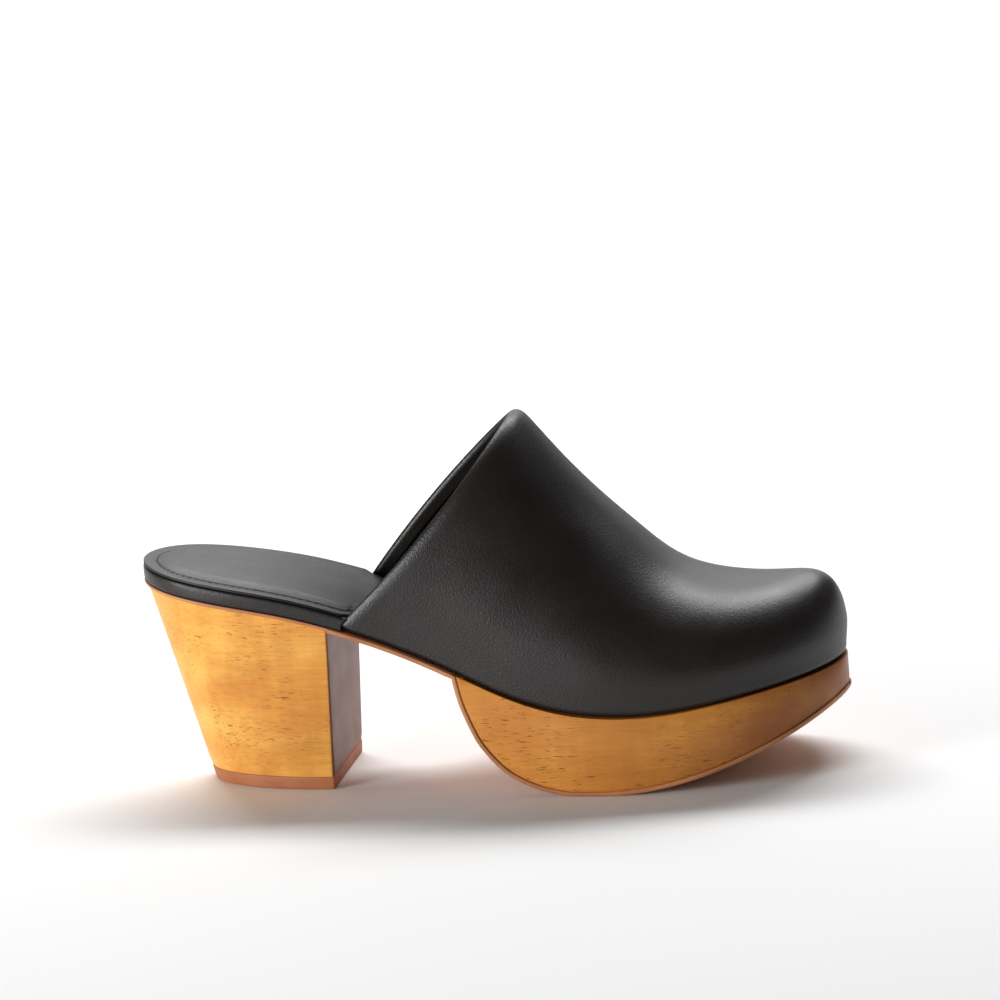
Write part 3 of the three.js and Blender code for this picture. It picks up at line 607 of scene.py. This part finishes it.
def make_stitches():
    """Separate stitches in the sock's groove, each a short thread that dips at both ends."""
    sheets = []
    for side in (-1, 1):
        x, y = edge_point(side, SHARES, RIM - 0.2 + sock_edge(side, SHARES))
        run = np.concatenate([[0], np.cumsum(np.hypot(np.diff(x), np.diff(y)))])
        pitch, long = 2.8, 2.2
        for start in np.arange(0.4, run[-1] - 3, pitch):
            s = start + np.linspace(0, long, 7) + random.uniform(-0.06, 0.06)
            px, py = np.interp(s, run, x), np.interp(s, run, y)
            dip = 0.3 * np.abs(np.linspace(-1, 1, 7)) ** 3
            z = sole_top(px) + SOCK_TOP - 0.22 - dip
            along = np.stack([np.gradient(px), np.gradient(py)], 1)
            along /= np.hypot(*along.T)[:, None]
            angles = np.linspace(0, 2 * math.pi, 7)
            radius = 0.24 * (1 - 0.5 * np.abs(np.linspace(-1, 1, 7)) ** 4)
            ring = np.stack([
                px[:, None] - along[:, 1, None] * radius[:, None] * np.cos(angles),
                py[:, None] + along[:, 0, None] * radius[:, None] * np.cos(angles),
                z[:, None] + radius[:, None] * np.sin(angles),
            ], -1)
            sheets.append(ring)
    return solid("sock_stitches", sheets, 80)


# ---------------------------------------------------------------- materials

# the heel's front face, in metres: where it meets the floor, and how it leans
BREAST_FOOT = (BREAST - BREAST_SET + SHIFT[0]) / 1000
BREAST_LEAN = float(BREAST_SET / (sole_top(BREAST) - SOLE))


class Shader:
    """A principled material and short ways to add nodes to it."""

    def __init__(self, name, roughness, **sockets):
        self.material = bpy.data.materials.new(name)
        self.material.use_nodes = True
        self.tree = self.material.node_tree
        self.bsdf = self.tree.nodes["Principled BSDF"]
        self.bsdf.inputs["Roughness"].default_value = roughness
        for key, value in sockets.items():
            self.bsdf.inputs[key.replace("_", " ")].default_value = value
        self.place = self.node("ShaderNodeTexCoord").outputs["Object"]

    def node(self, kind, **settings):
        made = self.tree.nodes.new(kind)
        for key, value in settings.items():
            setattr(made, key, value)
        return made

    def link(self, source, target):
        self.tree.links.new(source, target)

    def feed(self, socket, value):
        if isinstance(value, bpy.types.NodeSocket):
            self.link(value, socket)
        else:
            socket.default_value = value

    def stretched(self, x, y, z, turn=(0, 0, 0)):
        mapping = self.node("ShaderNodeMapping")
        mapping.inputs["Scale"].default_value = (x, y, z)
        mapping.inputs["Rotation"].default_value = turn
        self.link(self.place, mapping.inputs["Vector"])
        return mapping.outputs["Vector"]

    def noise(self, place, detail=3.0, roughness=0.55, distortion=0.0):
        made = self.node("ShaderNodeTexNoise")
        self.link(place, made.inputs["Vector"])
        made.inputs["Scale"].default_value = 1.0
        made.inputs["Detail"].default_value = detail
        made.inputs["Roughness"].default_value = roughness
        made.inputs["Distortion"].default_value = distortion
        return made.outputs["Fac"]

    def cells(self, place, feature="F1"):
        made = self.node("ShaderNodeTexVoronoi", feature=feature)
        self.link(place, made.inputs["Vector"])
        made.inputs["Scale"].default_value = 1.0
        return made.outputs["Distance"]

    def spread(self, value, low, high, to_low=0.0, to_high=1.0):
        made = self.node("ShaderNodeMapRange")
        self.feed(made.inputs["Value"], value)
        for name, number in zip(("From Min", "From Max", "To Min", "To Max"), (low, high, to_low, to_high)):
            made.inputs[name].default_value = number
        return made.outputs["Result"]

    def math(self, operation, a, b=0.0):
        made = self.node("ShaderNodeMath", operation=operation)
        self.feed(made.inputs[0], a)
        self.feed(made.inputs[1], b)
        return made.outputs[0]

    def mix(self, factor, a, b, blend="MIX"):
        made = self.node("ShaderNodeMix", data_type="RGBA", blend_type=blend)
        self.feed(made.inputs[0], factor)
        self.feed(made.inputs[6], a if isinstance(a, bpy.types.NodeSocket) else (*a, 1))
        self.feed(made.inputs[7], b if isinstance(b, bpy.types.NodeSocket) else (*b, 1))
        return made.outputs[2]

    def bump(self, height, distance, strength=1.0):
        """distance is the relief in metres. Later calls add to the earlier ones."""
        made = self.node("ShaderNodeBump")
        made.inputs["Strength"].default_value = strength
        made.inputs["Distance"].default_value = distance
        self.link(height, made.inputs["Height"])
        if self.bsdf.inputs["Normal"].is_linked:
            self.link(self.bsdf.inputs["Normal"].links[0].from_socket, made.inputs["Normal"])
        self.link(made.outputs["Normal"], self.bsdf.inputs["Normal"])

    def colour(self, value):
        self.link(value, self.bsdf.inputs["Base Color"])

    def rough(self, value):
        self.link(value, self.bsdf.inputs["Roughness"])

    def along(self, axis):
        made = self.node("ShaderNodeSeparateXYZ")
        self.link(self.place, made.inputs[0])
        return made.outputs[axis]


def leather(name, dark, light, rough, grain, relief, shade=None):
    """shade is where along the shoe, in metres, the vamp starts to keep the light off, and ends."""
    s = Shader(name, rough, Specular_IOR_Level=0.5)
    if shade:
        s.link(s.spread(s.along("X"), *shade, 0.5, 0.12), s.bsdf.inputs["Specular IOR Level"])
    soft = s.noise(s.stretched(45, 45, 45), 4)
    fine = s.noise(s.stretched(grain * 2.2, grain * 2.2, grain * 2.2), 2)
    pebbles = s.cells(s.stretched(grain, grain, grain * 0.8), "SMOOTH_F1")
    s.colour(s.mix(s.spread(soft, 0.35, 0.68), dark, light))
    varied = s.math("ADD", s.spread(soft, 0.3, 0.7, rough - 0.05, rough + 0.05),
                    s.spread(pebbles, 0.1, 0.7, -0.03, 0.05))
    s.rough(varied)
    s.bump(pebbles, relief)
    s.bump(fine, relief * 0.35)
    return s.material


def wood(name, light, dark, turn=(0, 0, 0)):
    """Honey-stained wood: soft bands, figure across them, fine fibres and short dark pores."""
    s = Shader(name, 0.45, Specular_IOR_Level=0.3, Coat_Weight=0.12, Coat_Roughness=0.25)
    bands = s.noise(s.stretched(9, 55, 85, turn), 4, 0.5, 0.6)
    figure = s.noise(s.stretched(170, 40, 26, turn), 3, 0.5, 0.3)
    fibres = s.noise(s.stretched(40, 700, 900, turn), 3, 0.6)
    blotches = s.noise(s.stretched(28, 28, 40, turn), 3, 0.5, 0.4)
    pores = s.noise(s.stretched(190, 900, 2000, turn), 2, 0.6)
    patches = s.noise(s.stretched(30, 60, 60, turn), 2)
    honey = s.mix(s.spread(bands, 0.3, 0.7), dark, light)
    honey = s.mix(s.spread(figure, 0.35, 0.65, 0, 0.32), honey, (0.56, 0.20, 0.022))
    honey = s.mix(s.spread(blotches, 0.38, 0.68, 0, 0.5), honey, (0.52, 0.17, 0.02))
    honey = s.mix(s.spread(fibres, 0.4, 0.75, 0, 0.3), honey, (0.38, 0.12, 0.014))
    pore = s.math("MULTIPLY", s.spread(pores, 0.60, 0.67), s.spread(patches, 0.42, 0.58, 0, 0.8))
    honey = s.mix(pore, honey, (0.13, 0.036, 0.006))
    # darker towards the toe: partly a mottled stain, partly painted shade where less light falls
    toe = s.spread(s.along("X"), 0.02, 0.12)
    toe = s.math("MULTIPLY", toe, s.spread(blotches, 0.2, 0.6, 0.55, 1.0))
    honey = s.mix(s.math("MULTIPLY", toe, 0.78), honey, (0.20, 0.050, 0.012))
    # the heel's breast face is painted darker: partly a darker stain on the end grain, partly painted shade
    # as it faces away from the light
    lean = s.math("MULTIPLY", s.along("Z"), BREAST_LEAN)
    breast = s.spread(s.math("SUBTRACT", s.along("X"), lean), BREAST_FOOT - 0.0012, BREAST_FOOT - 0.0006)
    inside = s.math("LESS_THAN", s.along("X"), BREAST_FOOT + 0.02)
    s.colour(s.mix(s.math("MULTIPLY", breast, inside), honey, (0.19, 0.062, 0.036)))
    s.rough(s.spread(bands, 0.3, 0.7, 0.52, 0.42))
    s.bump(fibres, 0.00003)
    s.bump(pore, 0.00004, -0.6)
    return s.material


def tan_leather(name, light, dark, rough):
    s = Shader(name, rough)
    soft = s.noise(s.stretched(60, 60, 60), 4)
    fibres = s.noise(s.stretched(500, 1400, 1400), 3)
    tone = s.mix(s.spread(soft, 0.35, 0.65), light, dark)
    s.colour(s.mix(s.spread(fibres, 0.45, 0.7, 0, 0.35), tone, dark))
    s.rough(s.spread(soft, 0.3, 0.7, rough - 0.06, rough + 0.08))
    s.bump(fibres, 0.00004)
    return s.material


def speckled(name, light, dark, rough, scale, relief, metallic=0.0, stretch=1.0):
    s = Shader(name, rough, Metallic=metallic)
    grains = s.cells(s.stretched(scale, scale * stretch, scale * stretch))
    soft = s.noise(s.stretched(scale / 6, scale / 6, scale / 6), 3)
    tone = s.mix(s.spread(grains, 0.1, 0.8), light, dark)
    s.colour(s.mix(s.spread(soft, 0.35, 0.7, 0, 0.4), tone, dark))
    s.rough(s.spread(grains, 0, 0.8, rough - 0.05, rough + 0.05))
    s.bump(grains, relief)
    return s.material


def woven(name, light, dark, pitch):
    s = Shader(name, 0.85)
    turns = 2 * math.pi / pitch
    wave = s.math("MULTIPLY", s.math("SINE", s.math("MULTIPLY", s.along("X"), turns)),
                  s.math("SINE", s.math("MULTIPLY", s.along("Y"), turns)))
    s.colour(s.mix(s.spread(wave, -1, 1), light, dark))
    s.bump(wave, 0.00008)
    return s.material


black = leather("black_leather", (0.0062, 0.0040, 0.0030), (0.0092, 0.0066, 0.0054), 0.40, 1900, 0.00007)
sock_black = leather(
    "sock_leather", (0.0068, 0.0060, 0.0056), (0.0098, 0.0088, 0.0083), 0.44, 1500, 0.00005, (-0.095, -0.05)
)
lining_black = leather("lining_leather", (0.008, 0.007, 0.0065), (0.012, 0.011, 0.010), 0.55, 1700, 0.00004)
honey_wood = wood("honey_wood", (0.88, 0.41, 0.066), (0.62, 0.215, 0.030))
# the heel's wood is a lighter copy of the platform's: painted light for the strong light falling on the heel
lit_heel_wood = wood("honey_wood_heel_lit", (1.0, 0.56, 0.115), (0.84, 0.36, 0.052), (0.03, 0.06, 0.4))
sole_tan = tan_leather("sole_leather", (0.55, 0.235, 0.095), (0.40, 0.150, 0.055), 0.5)
lift_tan = tan_leather("lift_rubber", (0.46, 0.165, 0.055), (0.38, 0.125, 0.042), 0.55)
thread = woven("thread", (0.02, 0.02, 0.02), (0.008, 0.008, 0.008), 0.0006)
hidden = {
    "fibreboard": speckled("fibreboard", (0.40, 0.32, 0.20), (0.28, 0.21, 0.12), 0.85, 900, 0.00005),
    "cork": speckled("cork", (0.47, 0.30, 0.16), (0.24, 0.13, 0.06), 0.9, 420, 0.00015),
    "steel": speckled("steel", (0.62, 0.63, 0.65), (0.42, 0.43, 0.45), 0.32, 300, 0.00001, 1.0, 8.0),
    "stiffener": woven("stiffener", (0.62, 0.58, 0.50), (0.45, 0.42, 0.36), 0.0012),
    "tape": woven("tape", (0.76, 0.74, 0.70), (0.56, 0.54, 0.50), 0.0009),
    "foam": speckled("foam", (0.30, 0.30, 0.31), (0.18, 0.18, 0.19), 0.9, 1600, 0.0001),
}

# ---------------------------------------------------------------- pieces

place(make_platform(), "platform_block", "honey_wood", honey_wood)
place(make_heel(), "heel_block", "honey_wood", lit_heel_wood)
place(make_lift(), "heel_top_lift", "lift_rubber", lift_tan)
place(make_outsole(), "outsole", "sole_leather", sole_tan)
place(make_vamp(), "vamp", "black_leather", black)
place(make_lining(), "vamp_lining", "lining_leather", lining_black)
place(make_wrap(), "insole_edge_wrap", "black_leather", black)
place(make_stitches(), "sock_stitching", "thread", thread)
sock = place(make_sock(), "sock_lining", "sock_leather", sock_black)
foam = place(make_foam(), "insole_foam", "foam", hidden["foam"])

slots = {part["node"]: part["material_slot"] for part in frame["record"]["subparts"]}
for name, node in frame["nodes"].items():
    material = hidden.get(slots.get(name))
    if material:
        for slot in node.material_slots:
            slot.material = material

# ---------------------------------------------------------------- floor, light and camera

floor_mesh = bpy.data.meshes.new("floor")
reach = 9.0
corners = [(x * reach, y * reach, 0) for x, y in ((-1, -1), (1, -1), (1, 1), (-1, 1))]
floor_mesh.from_pydata(corners, [], [(0, 1, 2, 3)])
floor = bpy.data.objects.new("floor", floor_mesh)
bpy.context.scene.collection.objects.link(floor)
paper = Shader("floor_paper", 0.9, Specular_IOR_Level=0.2)
paper.colour(paper.mix(paper.noise(paper.stretched(3, 3, 3)), (0.90, 0.90, 0.90), (0.92, 0.92, 0.92)))
floor_mesh.materials.append(paper.material)
floor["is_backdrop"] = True

world = bpy.context.scene.world or bpy.data.worlds.new("studio")
bpy.context.scene.world = world
world.use_nodes = True
world.node_tree.nodes["Background"].inputs["Color"].default_value = (1, 1, 1, 1)
world.node_tree.nodes["Background"].inputs["Strength"].default_value = 0.11


def soft_light(name, position, target, size, power):
    data = bpy.data.lights.new(name, "AREA")
    data.shape, data.size, data.size_y, data.energy = "RECTANGLE", size[0], size[1], power
    made = bpy.data.objects.new(name, data)
    made.location = position
    made.rotation_euler = (Vector(target) - Vector(position)).to_track_quat("-Z", "Y").to_euler()
    bpy.context.scene.collection.objects.link(made)


soft_light("overhead", (-0.1, 1.1, 1.6), (0, 0, 0.05), (2.0, 0.6), 46)
soft_light("key", (-1.9, -1.6, 0.45), (-0.02, 0, 0.05), (1.0, 0.8), 52)
soft_light("back", (-0.4, 2.2, 0.8), (0, 0, 0.06), (2.6, 0.8), 10)

AZIMUTH, ELEVATION, ROLL = math.radians(11.1), math.radians(13.3), math.radians(4.3)
FRAME_WIDTH, DISTANCE = 0.3571, 4.0
back = Vector((
    math.sin(AZIMUTH) * math.cos(ELEVATION),
    -math.cos(AZIMUTH) * math.cos(ELEVATION),
    math.sin(ELEVATION),
))
level = Vector((math.cos(AZIMUTH), math.sin(AZIMUTH), 0))
upright = back.cross(level)
right = level * math.cos(ROLL) - upright * math.sin(ROLL)
up = level * math.sin(ROLL) + upright * math.cos(ROLL)
camera_data = bpy.data.cameras.new("camera")
camera_data.sensor_width = 36
camera_data.lens = 36 * DISTANCE / FRAME_WIDTH
camera_data.clip_end = 60
camera = bpy.data.objects.new("camera", camera_data)
target = Vector((0.0053, 0, 0.0984))
matrix = Matrix((right, up, back)).transposed().to_4x4()
matrix.translation = target + back * DISTANCE
camera.matrix_world = matrix
bpy.context.scene.collection.objects.link(camera)
bpy.context.scene.camera = camera
bpy.context.scene.view_settings.view_transform = "Standard"
